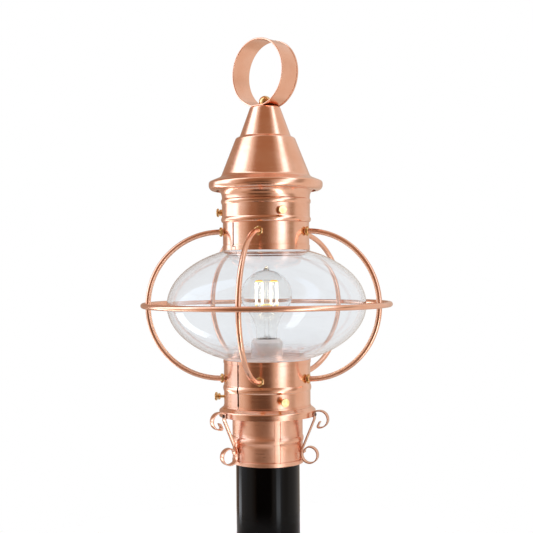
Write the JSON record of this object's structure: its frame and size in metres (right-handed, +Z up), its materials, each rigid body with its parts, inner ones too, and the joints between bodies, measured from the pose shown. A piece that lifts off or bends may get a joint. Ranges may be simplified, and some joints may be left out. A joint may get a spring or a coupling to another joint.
{
  "type": "post_lantern",
  "caption": "Outdoor post light: copper onion lantern with a clear globe in a wire cage, a spun two-tier roof with a ring finial, and a scrolled post fitter on a black post",
  "frame": {"origin": "Middle of the post's cut end, on the surface that it stands on", "axes": "+Z up the post, -Y the front of the lantern, +X to the right seen from the front"},
  "size_m": [0.3012, 0.3012, 0.6254],
  "materials": {
    "copper": "satin",
    "brass": "satin",
    "zinc_steel": "satin",
    "black_paint": "gloss",
    "porcelain": "gloss",
    "globe_glass": "clear",
    "bulb_glass": "clear",
    "cap_insulator": "gloss",
    "filament": "glowing"
  },
  "bodies": {
    "base": {"post": "black_paint", "fitter_sleeve": "zinc_steel", "fitter_skirt": "copper", "post_set_screws": "zinc_steel", "base_flange": "copper", "gallery_ring": "copper", "scroll_strap_1": "copper", "scroll_strap_2": "copper", "scroll_strap_3": "copper", "strap_rivets": "zinc_steel", "socket_plate": "zinc_steel", "socket_nipple": "zinc_steel", "nipple_nuts": "zinc_steel", "lamp_socket": "porcelain", "socket_shell": "brass", "socket_contact": "brass"},
    "cage": {"lower_collar": "copper", "upper_collar": "copper", "spigot_ring": "copper", "globe_seat": "copper", "glass_globe": "globe_glass", "cage_wire_1": "copper", "cage_wire_2": "copper", "cage_wire_3": "copper", "cage_wire_4": "copper", "cage_wire_5": "copper", "equator_ring": "copper", "wire_nuts_outer": "brass", "wire_nuts_inner": "brass", "lower_screw_bushes": "brass"},
    "roof": {"roof_cap": "copper", "roof_skirt": "copper", "upper_screw_bushes": "brass", "finial_ring": "copper", "finial_stud": "zinc_steel", "ball_nut": "brass", "finial_nut": "zinc_steel"},
    "bulb": {"bulb_cap": "brass", "bulb_insulator": "cap_insulator", "bulb_tip": "brass", "bulb_glass": "bulb_glass", "bulb_stem": "bulb_glass", "bulb_filament": "filament", "filament_supports": "zinc_steel"},
    "upper_thumb_screw_1": {"upper_thumb_screw_1": "brass"},
    "upper_thumb_screw_2": {"upper_thumb_screw_2": "brass"},
    "upper_thumb_screw_3": {"upper_thumb_screw_3": "brass"},
    "lower_thumb_screw_1": {"lower_thumb_screw_1": "brass"},
    "lower_thumb_screw_2": {"lower_thumb_screw_2": "brass"},
    "lower_thumb_screw_3": {"lower_thumb_screw_3": "brass"}
  },
  "joints": [
    {"name": "cage_lift", "type": "slide", "parent": "base", "child": "cage", "axis": [0, 0, 1], "range_m": [0, 0.18]},
    {"name": "roof_lift", "type": "slide", "parent": "cage", "child": "roof", "axis": [0, 0, 1], "range_m": [0, 0.08]},
    {"name": "bulb_lift", "type": "slide", "parent": "base", "child": "bulb", "axis": [0, 0, 1], "range_m": [0, 0.03]},
    {"name": "upper_screw_1", "type": "slide", "parent": "roof", "child": "upper_thumb_screw_1", "axis": [0.3256, -0.9455, 0], "range_m": [0, 0.004]},
    {"name": "upper_screw_2", "type": "slide", "parent": "roof", "child": "upper_thumb_screw_2", "axis": [0.6561, 0.7547, 0], "range_m": [0, 0.004]},
    {"name": "upper_screw_3", "type": "slide", "parent": "roof", "child": "upper_thumb_screw_3", "axis": [-0.9816, 0.1908, 0], "range_m": [0, 0.004]},
    {"name": "lower_screw_1", "type": "slide", "parent": "cage", "child": "lower_thumb_screw_1", "axis": [0.3256, -0.9455, 0], "range_m": [0, 0.004]},
    {"name": "lower_screw_2", "type": "slide", "parent": "cage", "child": "lower_thumb_screw_2", "axis": [0.6561, 0.7547, 0], "range_m": [0, 0.004]},
    {"name": "lower_screw_3", "type": "slide", "parent": "cage", "child": "lower_thumb_screw_3", "axis": [-0.9816, 0.1908, 0], "range_m": [0, 0.004]}
  ]
}
